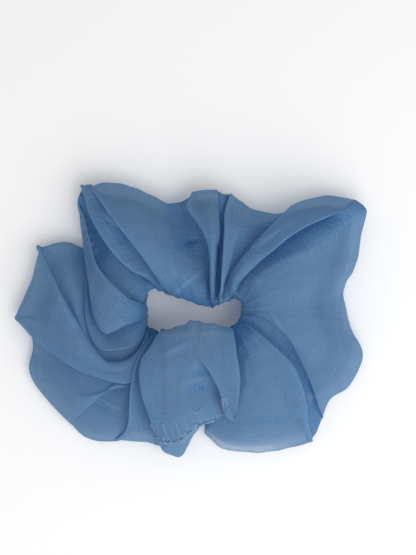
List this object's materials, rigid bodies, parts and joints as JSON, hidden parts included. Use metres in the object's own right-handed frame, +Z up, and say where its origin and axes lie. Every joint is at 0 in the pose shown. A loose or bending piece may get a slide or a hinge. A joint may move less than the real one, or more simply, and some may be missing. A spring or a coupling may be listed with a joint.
{
  "type": "scrunchie",
  "caption": "Oversized sheer cloth scrunchie: a wide tube of organza gathered over a stretchy elastic loop that grips a ponytail or bun.",
  "frame": {"origin": "centre of the relaxed loop, which lies pressed into a 50 by 16 mm oval, halfway up the gathered rim; the scrunchie's underside is 16 mm lower", "axes": "+Z up along the loop's axis, the way a ponytail leaves; +X to the right across the long way; +Y to the back"},
  "size_m": [0.1854, 0.1432, 0.0408],
  "materials": {
    "cloth": "sheer dusty-blue organza, plain weave, soft sheen",
    "elastic": "white braided flat elastic",
    "thread": "pale blue polyester sewing thread"
  },
  "bodies": {
    "back_half": {"cover_back": "cloth", "elastic_band": "elastic", "elastic_lap_stitching": "thread", "long_seam_stitching_back": "thread", "overlock_thread_back": "thread"},
    "front_half": {"cover_front": "cloth", "long_seam_stitching_front": "thread", "overlock_thread_front": "thread", "closing_seam_stitching": "thread"}
  },
  "joints": [
    {"name": "loop_stretch", "type": "slide", "parent": "back_half", "child": "front_half", "axis": [0, -1, 0], "range_m": [0, 0.08], "stiffness_N_per_m": 70, "deforming": ["elastic_band"]}
  ]
}
